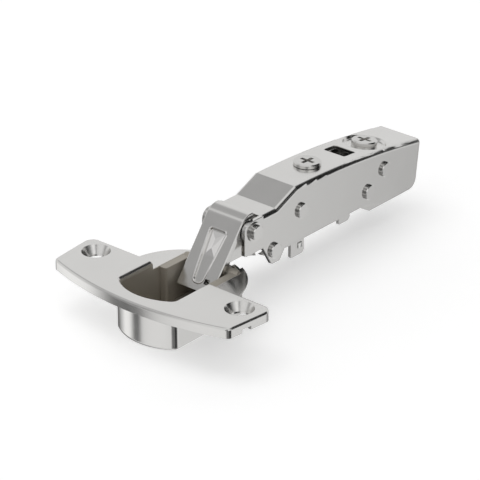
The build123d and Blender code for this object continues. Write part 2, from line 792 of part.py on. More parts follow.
# Adjusting channel, which tilts about the seat rivet inside the arm
web_sway = (channel_web[2] + channel_sheet / 2 - seat_rivet[1]) * sin(radians(channel_tilt))
tilt_front = (seat_rivet[0] - lever_rivet[0]) * sin(radians(channel_tilt))
tilt_rear = (tail_rivet[0] - seat_rivet[0]) * sin(radians(channel_tilt))
with BuildPart() as adjusting_channel:
    with BuildSketch(Plane.YZ.offset(channel_inner_half)):
        add(
            outline(
                [
                    (channel_front, channel_low),
                    (channel_step[0], channel_low),
                    (channel_step[1], channel_tail_low),
                    (channel_rear, channel_tail_low),
                    (channel_rear, channel_tail_top),
                    (channel_step[1], channel_top),
                    (channel_front, channel_top),
                ],
                [(3, tab_round), (4, tab_round), (6, tab_round)],
            )
        )
        with Locations(((channel_web[0] + channel_web[1]) / 2, (channel_low + channel_web[2]) / 2 + channel_sheet / 2)):
            Rectangle(channel_web[1] - channel_web[0], channel_web[2] - channel_low + channel_sheet)
    channel_walls = extrude(amount=channel_sheet)
    mirror(channel_walls, about=Plane.YZ)
    with BuildSketch(Plane.XY.offset(channel_web[2])):
        with Locations((0, (channel_web[0] + channel_web[1]) / 2)):
            Rectangle(2 * channel_half, channel_web[1] - channel_web[0])
    extrude(amount=channel_sheet)
    web_edges = channel_bend_edges(adjusting_channel.part)
    fillet(web_edges, channel_sheet)
    # Keyhole for the neck of the side screw
    with BuildSketch(Plane.XY.offset(channel_low)):
        with Locations((0, side_screw_y - web_sway)):
            Circle(side_neck_radius + clearance)
        with Locations((0, side_screw_y + keyhole_run)):
            Circle(side_foot_radius + clearance)
        with Locations((0, side_screw_y + (keyhole_run - web_sway) / 2)):
            Rectangle(2 * (side_neck_radius + clearance), keyhole_run + web_sway)
    extrude(amount=2 * arm_top, mode=Mode.SUBTRACT)
    add(pin_hole(seat_rivet, rivet_radius + running_fit, 2 * arm_half), mode=Mode.SUBTRACT)
    for place, swing in ((lever_rivet, tilt_front), (tail_rivet, tilt_rear)):
        with BuildSketch(Plane.YZ):
            with Locations(Location(place, 90)):
                SlotCenterToCenter(2 * swing, 2 * (rivet_radius + clearance))
        extrude(amount=2 * arm_half, both=True, mode=Mode.SUBTRACT)
adjusting_channel.part.label = "adjusting_channel"
export_step(adjusting_channel.part, "parts/adjusting_channel.step")


# Side adjusting screw: its foot holds the channel's web
side_plane = back_plane(side_screw_y)
web_height = arm_top_at(side_screw_y) - channel_web[2] - channel_sheet / 2
with BuildPart() as side_screw:
    with BuildSketch(side_plane.offset(side_head_lift)):
        Circle(side_head_radius)
    extrude(amount=side_head)
    chamfer(side_screw.faces().sort_by(Axis.Z)[-1].edges(), screw_head_edge)
    with BuildSketch(side_plane.offset(-web_height + channel_sheet / 2 + web_travel)):
        Circle(side_shank_radius)
    extrude(amount=web_height + side_head_lift - channel_sheet / 2 - web_travel)
    with BuildSketch(side_plane.offset(-web_height - channel_sheet / 2 - web_travel)):
        Circle(side_neck_radius)
    extrude(amount=channel_sheet + 2 * web_travel)
    with BuildSketch(side_plane.offset(-web_height - channel_sheet / 2 - web_travel)):
        Circle(side_foot_radius)
    extrude(amount=-side_foot)
    add(side_plane.offset(side_head_lift + side_head) * cross_recess(cross_depth), mode=Mode.SUBTRACT)
side_screw.part.label = "side_screw"
export_step(side_screw.part, "parts/side_screw.step")


# Clip carriage: the lowest sheet part, with the front tabs, the clip hooks and the slotted bridge
bridge_front, bridge_rear, bridge_low = carriage_bridge
cam_drop = arm_top_at(depth_screw_y) - bridge_low - carriage_sheet / 2
cam_slot_y = depth_screw_y - cam_drop * (depth_screw_y - back_centre.Y) / back_radius
with BuildPart() as clip_carriage:
    with BuildSketch(Plane.YZ.offset(carriage_inner_half)):
        # Front strip, its tab and its hook
        add(
            outline(
                [
                    (carriage_front, carriage_floor),
                    (carriage_step, carriage_floor),
                    (carriage_step, carriage_floor + 2 * carriage_sheet),
                    (carriage_front, carriage_floor + 2 * carriage_sheet),
                ]
            )
        )
        add(
            outline(
                [
                    (front_tab[0], carriage_floor + carriage_sheet),
                    (front_tab[0], front_tab[2]),
                    (front_tab[1], front_tab[2]),
                    (front_tab[1], carriage_floor + carriage_sheet),
                ],
                [(1, tab_round / 3), (2, tab_round)],
            )
        )
        add(
            outline(
                [
                    (hook_tab[0] + tab_round, carriage_floor + carriage_sheet),
                    (hook_tab[0], hook_tab[2] + tab_round),
                    (hook_tab[0], hook_tab[2]),
                    (hook_tab[1], hook_tab[2]),
                    (hook_tab[1], carriage_floor + carriage_sheet),
                ],
                [(2, tab_round / 3), (3, tab_round)],
            )
        )
        # Rear box
        add(
            outline(
                [
                    (carriage_step - carriage_sheet, carriage_floor),
                    (carriage_rear, carriage_floor),
                    (carriage_rear, carriage_tail_top),
                    (bridge_rear, bridge_low + carriage_sheet),
                    (bridge_front, bridge_low + carriage_sheet),
                    (carriage_step - carriage_sheet, carriage_floor + 4 * carriage_sheet),
                ],
                [(1, tab_round), (2, tab_round)],
            )
        )
    carriage_walls = extrude(amount=carriage_sheet)
    mirror(carriage_walls, about=Plane.YZ)
    # Floor with its long opening
    with BuildSketch(Plane.XY.offset(carriage_floor)):
        with Locations((0, (carriage_front + carriage_floor_rear) / 2)):
            Rectangle(2 * carriage_half, carriage_floor_rear - carriage_front)
        with Locations((0, (front_tab[1] + hook_tab[0]) / 2)):
            Rectangle(2 * carriage_rail_half, hook_tab[0] - front_tab[0], mode=Mode.SUBTRACT)
    extrude(amount=carriage_sheet)
    with BuildSketch(Plane.XY.offset(bridge_low)):
        with Locations((0, (bridge_front + bridge_rear) / 2)):
            Rectangle(2 * carriage_half, bridge_rear - bridge_front)
    extrude(amount=carriage_sheet)
    # Slot of the eccentric pin, and the slots that pass the rivets
    with BuildSketch(Plane.XY.offset(bridge_low - carriage_sheet)):
        with Locations((cam_offset * (1 + cos(radians(cam_swing))) / 2, cam_slot_y)):
            SlotCenterToCenter(cam_offset * (1 - cos(radians(cam_swing))), 2 * (cam_radius + cam_play))
    extrude(amount=3 * carriage_sheet, mode=Mode.SUBTRACT)
    for place, swing in ((seat_rivet, 0), (tail_rivet, tilt_rear)):
        with BuildSketch(Plane.YZ):
            with Locations(place):
                with Locations((0, -swing), (0, 0), (0, swing)):
                    SlotCenterToCenter(2 * carriage_travel, 2 * (rivet_radius + clearance))
        extrude(amount=2 * arm_half, both=True, mode=Mode.SUBTRACT)
clip_carriage.part.label = "clip_carriage"
export_step(clip_carriage.part, "parts/clip_carriage.step")


# Depth screw: a broad head in the dimple and an eccentric pin in the bridge's slot
depth_plane = back_plane(depth_screw_y)
with BuildPart() as depth_screw:
    with BuildSketch(depth_plane.offset(-dimple_depth)):
        Circle(depth_head_radius)
    extrude(amount=depth_head)
    chamfer(depth_screw.faces().sort_by(Axis.Z)[-1].edges(), screw_head_edge)
    with BuildSketch(depth_plane.offset(-dimple_depth)):
        Circle(depth_neck_radius)
    extrude(amount=-depth_neck_length)
    with BuildSketch(depth_plane.offset(-dimple_depth - depth_neck_length)):
        with Locations((cam_offset, 0)):
            Circle(cam_radius)
    extrude(amount=-cam_length)
    add(depth_plane.offset(depth_head - dimple_depth) * cross_recess(cross_depth), mode=Mode.SUBTRACT)
depth_screw.part.label = "depth_screw"
export_step(depth_screw.part, "parts/depth_screw.step")


# Control lever, which carries a roller for the links on one side and presses the plungers on the other
with BuildPart() as control_lever:
    with BuildSketch(Plane.YZ):
        with Locations(lever_rivet):
            Circle(lever_boss)
        with Locations(lever_tip):
            Circle(lever_tip_radius)
        with Locations(roller_axis):
            Circle(fork_round)
        add(
            outline(
                [
                    (lever_rivet[0] - lever_neck, lever_rivet[1]),
                    (lever_tip[0] - lever_tip_radius, lever_tip[1]),
                    (lever_tip[0] + lever_tip_radius, lever_tip[1]),
                    (lever_rivet[0] + lever_neck, lever_rivet[1]),
                ]
            )
        )
        add(
            outline(
                [
                    (roller_axis[0], roller_axis[1] - fork_round),
                    (lever_rivet[0], lever_rivet[1] - fork_round),
                    (lever_rivet[0], lever_rivet[1] + fork_round),
                    (roller_axis[0], roller_axis[1] + fork_round),
                ]
            )
        )
    extrude(amount=lever_half, both=True)
    with BuildSketch(Plane.YZ):
        with Locations((lever_rivet[0] - lever_boss - clearance - 2 * lever_boss, lever_rivet[1])):
            Rectangle(4 * lever_boss, 4 * lever_boss)
        with Locations(roller_axis):
            Circle(roller_radius + clearance)
    extrude(amount=roller_half + clearance / 2, both=True, mode=Mode.SUBTRACT)
    for side in (-1, 1):
        with BuildSketch(Plane.YZ.offset(side * lever_fork_half)):
            with Locations((lever_rivet[0] - lever_boss - 2 * lever_boss, lever_rivet[1])):
                Rectangle(4 * lever_boss, 4 * lever_boss)
        extrude(amount=side * lever_half, mode=Mode.SUBTRACT)
    add(pin_hole(lever_rivet, rivet_radius + running_fit, 2 * lever_half), mode=Mode.SUBTRACT)
    add(pin_hole(roller_axis, roller_pin_radius, 2 * lever_half), mode=Mode.SUBTRACT)
control_lever.part.label = "control_lever"
export_step(control_lever.part, "parts/control_lever.step")

with BuildPart() as lever_roller:
    add(rod(roller_axis, roller_radius, roller_half, roller_edge))
    add(pin_hole(roller_axis, roller_pin_radius + running_fit, 2 * roller_half), mode=Mode.SUBTRACT)
lever_roller.part.label = "lever_roller"
export_step(lever_roller.part, "parts/lever_roller.step")

with BuildPart() as roller_pin:
    add(rod(roller_axis, roller_pin_radius, lever_fork_half, roller_pin_radius / 5))
roller_pin.part.label = "roller_pin"
export_step(roller_pin.part, "parts/roller_pin.step")


# Seat block for the spring and the damper, held by the seat rivet
with BuildPart() as spring_seat:
    with BuildSketch(Plane.YZ):
        with Locations((cylinder_rear + seat_length / 2, (seat_base + seat_roof) / 2)):
            RectangleRounded(seat_length, seat_roof - seat_base, seat_round)
    extrude(amount=seat_half, both=True)
    add(pin_hole(seat_rivet, rivet_radius + running_fit, 2 * seat_half), mode=Mode.SUBTRACT)
spring_seat.part.label = "spring_seat"
export_step(spring_seat.part, "parts/spring_seat.step")

with BuildPart() as spring_plunger:
    # Sleeve whose closed end meets the control lever, and the stem that guides the spring
    with BuildSketch(station(push_face)):
        with Locations((store_height, -store_offset)):
            Circle(cap_radius)
    extrude(amount=cap_length)
    with BuildSketch(station(push_face + cap_end)):
        with Locations((store_height, -store_offset)):
            Circle(spring_radius + spring_wire / 2 + cap_play)
    extrude(amount=cap_length, mode=Mode.SUBTRACT)
    with BuildSketch(station(push_face + cap_end)):
        with Locations((store_height, -store_offset)):
            Circle(stem_radius)
    extrude(amount=stem_length)
    chamfer(spring_plunger.faces().sort_by(Axis.Y)[0].edges(), cap_end / 3)
spring_plunger.part.label = "spring_plunger"
export_step(spring_plunger.part, "parts/spring_plunger.step")

with BuildPart() as closing_spring:
    coil_length = cylinder_rear - spring_front - spring_wire
    coil_start = (-store_offset, spring_front + spring_wire / 2, store_height)
    with BuildLine():
        coil = Helix(coil_length / spring_turns, coil_length, spring_radius, center=coil_start, direction=(0, 1, 0))
    with BuildSketch(Plane(origin=coil @ 0, z_dir=coil % 0)):
        RegularPolygon(spring_wire / 2, wire_sides)
    sweep(path=coil)
closing_spring.part.label = "closing_spring"
export_step(closing_spring.part, "parts/closing_spring.step")

with BuildPart() as damper_cylinder:
    with BuildSketch(station(cylinder_front)):
        with Locations((store_height, store_offset)):
            Circle(cylinder_radius)
    extrude(amount=cylinder_rear - cylinder_front)
    with BuildSketch(station(cylinder_front + cylinder_wall)):
        with Locations((store_height, store_offset)):
            Circle(cylinder_bore)
    extrude(amount=cylinder_rear - cylinder_front - 2 * cylinder_wall, mode=Mode.SUBTRACT)
    with BuildSketch(station(cylinder_front - cylinder_wall)):
        with Locations((store_height, store_offset)):
            Circle(rod_radius + running_fit)
    extrude(amount=3 * cylinder_wall, mode=Mode.SUBTRACT)
    chamfer(damper_cylinder.faces().sort_by(Axis.Y)[0].edges().sort_by(SortBy.LENGTH)[-1], cylinder_wall / 3)
damper_cylinder.part.label = "damper_cylinder"
export_step(damper_cylinder.part, "parts/damper_cylinder.step")

with BuildPart() as damper_piston:
    with BuildSketch(station(push_face)):
        with Locations((store_height, store_offset)):
            Circle(rod_radius)
    extrude(amount=rod_length)
    with BuildSketch(station(push_face + rod_length - piston_length)):
        with Locations((store_height, store_offset)):
            Circle(piston_radius)
    extrude(amount=piston_length)
    chamfer(damper_piston.faces().sort_by(Axis.Y)[0].edges(), rod_radius / 3)
damper_piston.part.label = "damper_piston"
export_step(damper_piston.part, "parts/damper_piston.step")


# Release lever at the rear, with its clip hook below, and the spring that returns it
with BuildPart() as release_lever:
    with BuildSketch(Plane.YZ):
        with Locations(tail_rivet):
            Circle(release_boss)
        add(
            outline(
                [
                    (tail_rivet[0], tail_rivet[1] + release_boss),
                    (release_tail[0], release_tail[1]),
                    (release_tail[0], release_hook[1] + 2 * release_arm),
                    (release_hook[0] + release_arm, release_hook[1]),
                    (release_hook[0] - release_arm, release_hook[1]),
                    (release_hook[0] - release_arm, release_hook[1] + release_arm),
                    (release_hook[0], tail_rivet[1] - 2 * release_boss),
                    (tail_rivet[0], tail_rivet[1] - release_boss),
                ],
                [(1, release_round), (3, release_round), (4, release_round / 2)],
            )
        )
    extrude(amount=release_half, both=True)
    add(pin_hole(tail_rivet, rivet_radius + running_fit, 2 * release_half), mode=Mode.SUBTRACT)
    # Open saddle that snaps onto the rivet, clear of the carriage's bridge
    with BuildSketch(Plane.XY.offset(tail_rivet[1] + release_saddle)):
        with Locations((0, tail_rivet[0])):
            Rectangle(2 * release_half, 4 * release_boss)
    extrude(amount=release_boss, mode=Mode.SUBTRACT)
    # Flat seat of the return spring
    with BuildSketch(Plane.XY.offset(release_seat)):
        with Locations((0, release_spring_y)):
            Rectangle(2 * release_half, 2 * (release_spring_radius + release_spring_wire))
    extrude(amount=2 * release_boss + release_seat, mode=Mode.SUBTRACT)
release_lever.part.label = "release_lever"
export_step(release_lever.part, "parts/release_lever.step")

with BuildPart() as release_spring:
    return_length = arm_top_at(release_spring_y) - 1.5 * arm_sheet - release_seat - release_spring_wire
    with BuildLine():
        turns = Helix(
            return_length / release_spring_turns,
            return_length,
            release_spring_radius,
            center=(0, release_spring_y, release_seat + release_spring_wire / 2),
        )
    with BuildSketch(Plane(origin=turns @ 0, z_dir=turns % 0)):
        RegularPolygon(release_spring_wire / 2, wire_sides)
    sweep(path=turns)
release_spring.part.label = "release_spring"
export_step(release_spring.part, "parts/release_spring.step")
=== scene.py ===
from math import asin, atan2, cos, hypot, pi, radians, sin

import bmesh
import bpy
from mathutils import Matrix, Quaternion, Vector


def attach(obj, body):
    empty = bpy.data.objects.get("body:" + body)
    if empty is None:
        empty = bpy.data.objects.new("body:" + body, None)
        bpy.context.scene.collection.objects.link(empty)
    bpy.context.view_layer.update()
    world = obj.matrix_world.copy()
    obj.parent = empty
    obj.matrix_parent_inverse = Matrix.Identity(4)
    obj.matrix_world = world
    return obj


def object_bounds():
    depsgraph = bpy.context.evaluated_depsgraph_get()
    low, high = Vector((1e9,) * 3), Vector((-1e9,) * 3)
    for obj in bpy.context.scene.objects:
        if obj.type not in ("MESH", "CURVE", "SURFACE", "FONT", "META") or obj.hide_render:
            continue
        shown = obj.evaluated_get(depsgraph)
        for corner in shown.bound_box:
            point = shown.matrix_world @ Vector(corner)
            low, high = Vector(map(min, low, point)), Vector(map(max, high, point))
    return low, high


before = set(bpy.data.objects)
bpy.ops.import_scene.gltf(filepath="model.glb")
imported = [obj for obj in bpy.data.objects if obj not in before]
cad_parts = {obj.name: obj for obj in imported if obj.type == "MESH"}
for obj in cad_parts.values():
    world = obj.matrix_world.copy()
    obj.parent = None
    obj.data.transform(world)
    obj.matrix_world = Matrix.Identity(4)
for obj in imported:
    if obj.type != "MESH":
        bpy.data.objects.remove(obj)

CAD_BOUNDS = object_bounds()

bl_info = {
    "name": "Concealed Cup Hinge",
    "version": (1, 0, 0),
    "blender": (4, 5, 0),
    "location": "View3D > Sidebar > Cup Hinge",
    "description": "Dresses the packed cup hinge in its plated finishes and sets up its studio",
    "category": "Object",
}

MM = 0.001

# Nickel plating, barrel finished: the grain that tumbling leaves, with its depth, and the cloudy
# patches, with the range that they change the tint and the roughness over
GRAIN = 0.09 * MM
GRAIN_DEPTH = 0.0003 * MM
CLOUD = 7.0 * MM
CLOUD_TINT = (0.98, 1.01)
CLOUD_ROUGHNESS = (-0.015, 0.02)

# Radius of the edges: pressed sheet, the arm with its softer bends, and turned steel
SHEET_EDGE = 0.1 * MM
ARM_EDGE = 0.35 * MM
TURNED_EDGE = 0.06 * MM

# Turned steel: the pins, how much less rough the rivets are than the sheet, and the screws, which
# are a little darker and glossier than it
PIN_ROUGHNESS = 0.2
RIVET_POLISH = 0.04
SCREW_TINT = 0.9
SCREW_ROUGHNESS = 0.17

# Inside the cup, and on the cradle in it, the finish is duller and less of a mirror than the
# rest, and the darker colour there is painted shade
INSIDE_ROUGHNESS = 0.45
INSIDE_METALLIC = 0.35

# Moulded plastic: its spark-eroded grain with its depth and range of tint, and its IOR
PLASTIC_GRAIN = 0.15 * MM
PLASTIC_GRAIN_DEPTH = 0.006 * MM
PLASTIC_TINT = (0.9, 1.1)
PLASTIC_IOR = 1.48

# Noise values between which a pattern goes from one end of its range to the other
NOISE_LOW = 0.3
NOISE_HIGH = 0.7

# Middle of the cup's wall: radius, distance of the flats from the middle, and height of the rim.
# The finish of the inside fades in over a short way from them.
CUP_INSIDE = 16.9 * MM
CUP_FLAT_INSIDE = 10.2 * MM
CUP_RIM = 2.7 * MM
CUP_FADE = 0.3 * MM

# Outer link, seen from the side as (y, z): its two pivots and how far its face stands off them
FRONT_RIVET = (22.2 * MM, 9.1 * MM)
LOWER_PIVOT = (10.0 * MM, -4.5 * MM)
HOOD_RADIUS = 5.1 * MM
FOOT_RADIUS = 3.7 * MM

# Panel pressed into the link's face: half-widths, and distances down from the top of the face
PANEL_TOP = 3.4 * MM
PANEL_FOOT = 18.8 * MM
PANEL_TOP_HALF = 2.9 * MM
PANEL_FOOT_HALF = 1.5 * MM
PANEL_TOP_ROUND = 0.8 * MM
PANEL_FOOT_ROUND = 1.35 * MM
CORNER_STEPS = 6
RIM_RADIUS = 0.26 * MM
RIM_SIDES = 10

# Facet in that panel, and how far its foot and its ridge stand out from the face
FACET_TOP = 3.95 * MM
FACET_FOOT = 10.95 * MM
FACET_TOP_HALF = 2.35 * MM
FACET_FOOT_HALF = 1.8 * MM
FACET_RIDGE = (6.0 * MM, 8.7 * MM)
FACET_LOW = -0.46 * MM
FACET_HIGH = -0.06 * MM

# Pads on the clip carriage's front tabs: place as (y, z), size, height, rounding of the edges,
# and distance of the tabs' outer faces from the middle
PAD_PLACE = (44.7 * MM, -4.3 * MM)
PAD_SIZE = 1.7 * MM
PAD_HEIGHT = 0.3 * MM
PAD_EDGE = 0.4 * PAD_HEIGHT
TAB_FACE = 5.0 * MM


# Colours and node helpers


def linear(hex_colour):
    """Linear RGBA of an sRGB hex colour."""
    channels = [int(hex_colour[i : i + 2], 16) / 255 for i in (1, 3, 5)]
    return (
        *[c / 12.92 if c <= 0.04045 else ((c + 0.055) / 1.055) ** 2.4 for c in channels],
        1.0,
    )


def srgb_colour(hex_colour):
    """The same as three numbers, for a colour property."""
    return linear(hex_colour)[:3]


def scaled(colour, factor):
    """RGBA of a colour property made a little lighter or darker."""
    return (*[min(1.0, channel * factor) for channel in colour[:3]], 1.0)


def add_node(tree, kind, settings=None, stops=(), **inputs):
    """Adds a shader node: its properties, its colour ramp's stops, and its inputs.

    An input is given by its name, with _ for a space, or as i and its index, and is linked where
    its value is a socket.
    """
    node = tree.nodes.new(kind)
    for name, value in (settings or {}).items():
        setattr(node, name, value)
    for i, (position, colour) in enumerate(stops):
        node.color_ramp.elements[i].position = position
        node.color_ramp.elements[i].color = colour
    for name, value in inputs.items():
        by_index = name[0] == "i" and name[1:].isdigit()
        socket = node.inputs[int(name[1:]) if by_index else name.replace("_", " ")]
        if isinstance(value, bpy.types.NodeSocket):
            tree.links.new(value, socket)
        else:
            socket.default_value = value
    return node


def new_material(name):
    """Empty material with its output and a principled shader, ready for the pattern nodes."""
    material = bpy.data.materials.new(name)
    material.use_nodes = True
    tree = material.node_tree
    tree.nodes.clear()
    shader = add_node(tree, "ShaderNodeBsdfPrincipled")
    add_node(tree, "ShaderNodeOutputMaterial", Surface=shader.outputs["BSDF"])
    return material, tree, shader


# Finishes


def within_cup(tree, where):
    """One inside the drawn cup and below its rim, nought elsewhere."""
    # This mask lays the painted shade, and the duller finish, inside the cup
    axes = add_node(tree, "ShaderNodeSeparateXYZ", Vector=where).outputs
    across, along, height = axes["X"], axes["Y"], axes["Z"]
    along_squared = add_node(
        tree, "ShaderNodeMath", {"operation": "MULTIPLY"}, i0=along, i1=along
    ).outputs[0]
    radius_squared = add_node(
        tree,
        "ShaderNodeMath",
        {"operation": "MULTIPLY_ADD"},
        i0=across,
        i1=across,
        i2=along_squared,
    ).outputs[0]
    radius = add_node(
        tree, "ShaderNodeMath", {"operation": "SQRT"}, i0=radius_squared
    ).outputs[0]
    aside = add_node(tree, "ShaderNodeMath", {"operation": "ABSOLUTE"}, i0=across).outputs[0]
    cover = 1.0
    for distance, limit in ((radius, CUP_INSIDE), (aside, CUP_FLAT_INSIDE), (height, CUP_RIM)):
        step = add_node(
            tree,
            "ShaderNodeMapRange",
            Value=distance,
            From_Min=limit - CUP_FADE,
            From_Max=limit,
            To_Min=1.0,
            To_Max=0.0,
        ).outputs["Result"]
        cover = add_node(
            tree, "ShaderNodeMath", {"operation": "MULTIPLY"}, i0=step, i1=cover
        ).outputs[0]
    return cover


def plated_steel(name, colour, roughness, edge=SHEET_EDGE, metallic=1.0, inside=None):
    """Nickel-plated sheet or turned steel, barrel finished.

    The plating is satin: reflections are soft, with a fine pebbled grain from tumbling, faint
    cloudy differences in gloss, and edges that the tumbling has rounded and polished. With a
    colour for the inside, the drawn cup gets that darker colour as painted shade, with a duller,
    less metallic finish.
    """
    material, tree, shader = new_material(name)
    where = add_node(tree, "ShaderNodeTexCoord").outputs["Object"]
    clouds = add_node(
        tree, "ShaderNodeTexNoise", Vector=where, Scale=1 / CLOUD, Detail=3.0, Roughness=0.55
    ).outputs["Fac"]
    grain = add_node(
        tree, "ShaderNodeTexNoise", Vector=where, Scale=1 / GRAIN, Detail=2.0, Roughness=0.6
    ).outputs["Fac"]
    darker, lighter = [scaled(colour, factor) for factor in CLOUD_TINT]
    tint = add_node(
        tree, "ShaderNodeValToRGB", stops=((NOISE_LOW, darker), (NOISE_HIGH, lighter)), i0=clouds
    ).outputs["Color"]
    glossier, duller = [roughness + change for change in CLOUD_ROUGHNESS]
    gloss = add_node(
        tree,
        "ShaderNodeMapRange",
        Value=clouds,
        From_Min=NOISE_LOW,
        From_Max=NOISE_HIGH,
        To_Min=glossier,
        To_Max=duller,
    ).outputs["Result"]
    # Inside the cup the colour is painted shade, and roughness and metallic change there too
    if inside:
        cover = within_cup(tree, where)
        tint = add_node(
            tree, "ShaderNodeMix", {"data_type": "RGBA"}, i0=cover, i6=tint, i7=(*inside, 1.0)
        ).outputs[2]
        gloss = add_node(
            tree, "ShaderNodeMix", i0=cover, i2=gloss, i3=INSIDE_ROUGHNESS
        ).outputs[0]
        bare = add_node(
            tree, "ShaderNodeMix", i0=cover, i2=metallic, i3=INSIDE_METALLIC
        ).outputs[0]
        tree.links.new(bare, shader.inputs["Metallic"])
    else:
        shader.inputs["Metallic"].default_value = metallic
    rounded = add_node(tree, "ShaderNodeBevel", {"samples": 8}, Radius=edge).outputs["Normal"]
    bump = add_node(
        tree,
        "ShaderNodeBump",
        Height=grain,
        Distance=GRAIN_DEPTH,
        Strength=0.35,
        Normal=rounded,
    ).outputs["Normal"]
    tree.links.new(tint, shader.inputs["Base Color"])
    tree.links.new(gloss, shader.inputs["Roughness"])
    tree.links.new(bump, shader.inputs["Normal"])
    return material


def moulded_plastic(name, colour, roughness):
    """Injection-moulded acetal or nylon: even colour with a fine spark-eroded grain."""
    material, tree, shader = new_material(name)
    where = add_node(tree, "ShaderNodeTexCoord").outputs["Object"]
    grain = add_node(
        tree, "ShaderNodeTexNoise", Vector=where, Scale=1 / PLASTIC_GRAIN, Detail=2.0
    ).outputs["Fac"]
    darker, lighter = [scaled(colour, factor) for factor in PLASTIC_TINT]
    tint = add_node(
        tree, "ShaderNodeValToRGB", stops=((NOISE_LOW, darker), (NOISE_HIGH, lighter)), i0=grain
    ).outputs["Color"]
    bump = add_node(
        tree, "ShaderNodeBump", Height=grain, Distance=PLASTIC_GRAIN_DEPTH, Strength=0.4
    ).outputs["Normal"]
    tree.links.new(tint, shader.inputs["Base Color"])
    tree.links.new(bump, shader.inputs["Normal"])
    shader.inputs["Roughness"].default_value = roughness
    shader.inputs["IOR"].default_value = PLASTIC_IOR
    return material


def dress(material, *names):
    """Gives CAD nodes a finish."""
    for name in names:
        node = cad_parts[name]
        for slot in node.material_slots:
            slot.material = material
        if not node.material_slots:
            node.data.materials.append(material)


# Pressed forms


def mesh_of(name, form, smooth):
    """Mesh of a finished form, with its faces turned outward."""
    bmesh.ops.recalc_face_normals(form, faces=form.faces[:])
    mesh = bpy.data.meshes.new(name)
    form.to_mesh(mesh)
    form.free()
    for face in mesh.polygons:
        face.use_smooth = smooth
    return mesh


def add_piece(name, mesh, body, material):
    """Puts a mesh into the scene as a piece that rides on a body."""
    mesh.materials.append(bpy.data.materials[material])
    piece = bpy.data.objects.new(name, mesh)
    bpy.context.scene.collection.objects.link(piece)
    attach(piece, body)


def link_face(across, down, out):
    """Place on the outer link's face: across it, down from its top, and out from it."""
    run, rise = FRONT_RIVET[0] - LOWER_PIVOT[0], FRONT_RIVET[1] - LOWER_PIVOT[1]
    lean = atan2(rise, run) + asin((HOOD_RADIUS - FOOT_RADIUS) / hypot(run, rise))
    off = HOOD_RADIUS + out
    return (
        across,
        FRONT_RIVET[0] - cos(lean) * down - sin(lean) * off,
        FRONT_RIVET[1] - sin(lean) * down + cos(lean) * off,
    )


def rounded_corner(corner, before, after, radius):
    """Points of the arc that rounds a corner between its two neighbours."""
    corner, before, after = Vector(corner), Vector(before), Vector(after)
    start, end = (before - corner).normalized(), (after - corner).normalized()
    half = start.angle(end) / 2
    centre = corner + (start + end).normalized() * radius / sin(half)
    first = (corner + start * radius * cos(half) / sin(half) - centre).normalized()
    last = (corner + end * radius * cos(half) / sin(half) - centre).normalized()
    return [
        centre + first.slerp(last, i / CORNER_STEPS) * radius for i in range(CORNER_STEPS + 1)
    ]


def panel_rim():
    """Half-round bead that stands up round the pressed panel."""
    corners = [
        (-PANEL_TOP_HALF, PANEL_TOP),
        (PANEL_TOP_HALF, PANEL_TOP),
        (PANEL_FOOT_HALF, PANEL_FOOT),
        (-PANEL_FOOT_HALF, PANEL_FOOT),
    ]
    rounds = [PANEL_TOP_ROUND, PANEL_TOP_ROUND, PANEL_FOOT_ROUND, PANEL_FOOT_ROUND]
    path = []
    for i, radius in enumerate(rounds):
        ahead = corners[(i + 1) % len(corners)]
        path += rounded_corner(corners[i], corners[i - 1], ahead, radius)
    form = bmesh.new()
    rings = []
    for i, place in enumerate(path):
        run = (path[(i + 1) % len(path)] - path[i - 1]).normalized()
        aside = Vector((run.y, -run.x))
        rings.append([])
        for j in range(RIM_SIDES):
            turn = 2 * pi * j / RIM_SIDES
            flat = place + aside * RIM_RADIUS * (1 + cos(turn))
            rings[-1].append(form.verts.new(link_face(flat.x, flat.y, RIM_RADIUS * sin(turn))))
    for i, ring in enumerate(rings):
        ahead = rings[(i + 1) % len(rings)]
        for j in range(RIM_SIDES):
            k = (j + 1) % RIM_SIDES
            form.faces.new((ring[j], ring[k], ahead[k], ahead[j]))
    return mesh_of("panel_rim", form, smooth=True)


def panel_facet():
    """Hipped facet in the upper half of the panel."""
    form = bmesh.new()
    places = [
        link_face(-FACET_TOP_HALF, FACET_TOP, FACET_LOW),
        link_face(FACET_TOP_HALF, FACET_TOP, FACET_LOW),
        link_face(FACET_FOOT_HALF, FACET_FOOT, FACET_LOW),
        link_face(-FACET_FOOT_HALF, FACET_FOOT, FACET_LOW),
        link_face(0, FACET_RIDGE[0], FACET_HIGH),
        link_face(0, FACET_RIDGE[1], FACET_HIGH),
    ]
    a, b, c, d, e, f = [form.verts.new(place) for place in places]
    for corners in ((a, b, e), (b, c, f, e), (c, d, f), (d, a, e, f), (d, c, b, a)):
        form.faces.new(corners)
    return mesh_of("panel_facet", form, smooth=False)


def tab_pads():
    """Small raised pad with rounded edges on each front tab of the clip carriage."""
    form = bmesh.new()
    for side in (-1, 1):
        pad = bmesh.ops.create_cube(form, size=1.0)["verts"]
        bmesh.ops.scale(form, verts=pad, vec=(2 * PAD_HEIGHT, PAD_SIZE, PAD_SIZE))
        bmesh.ops.translate(form, verts=pad, vec=(side * TAB_FACE, *PAD_PLACE))
    bmesh.ops.bevel(
        form, geom=form.edges[:], offset=PAD_EDGE, segments=3, affect="EDGES", profile=0.5
    )
    return mesh_of("tab_pads", form, smooth=True)


# Settings that a user would change


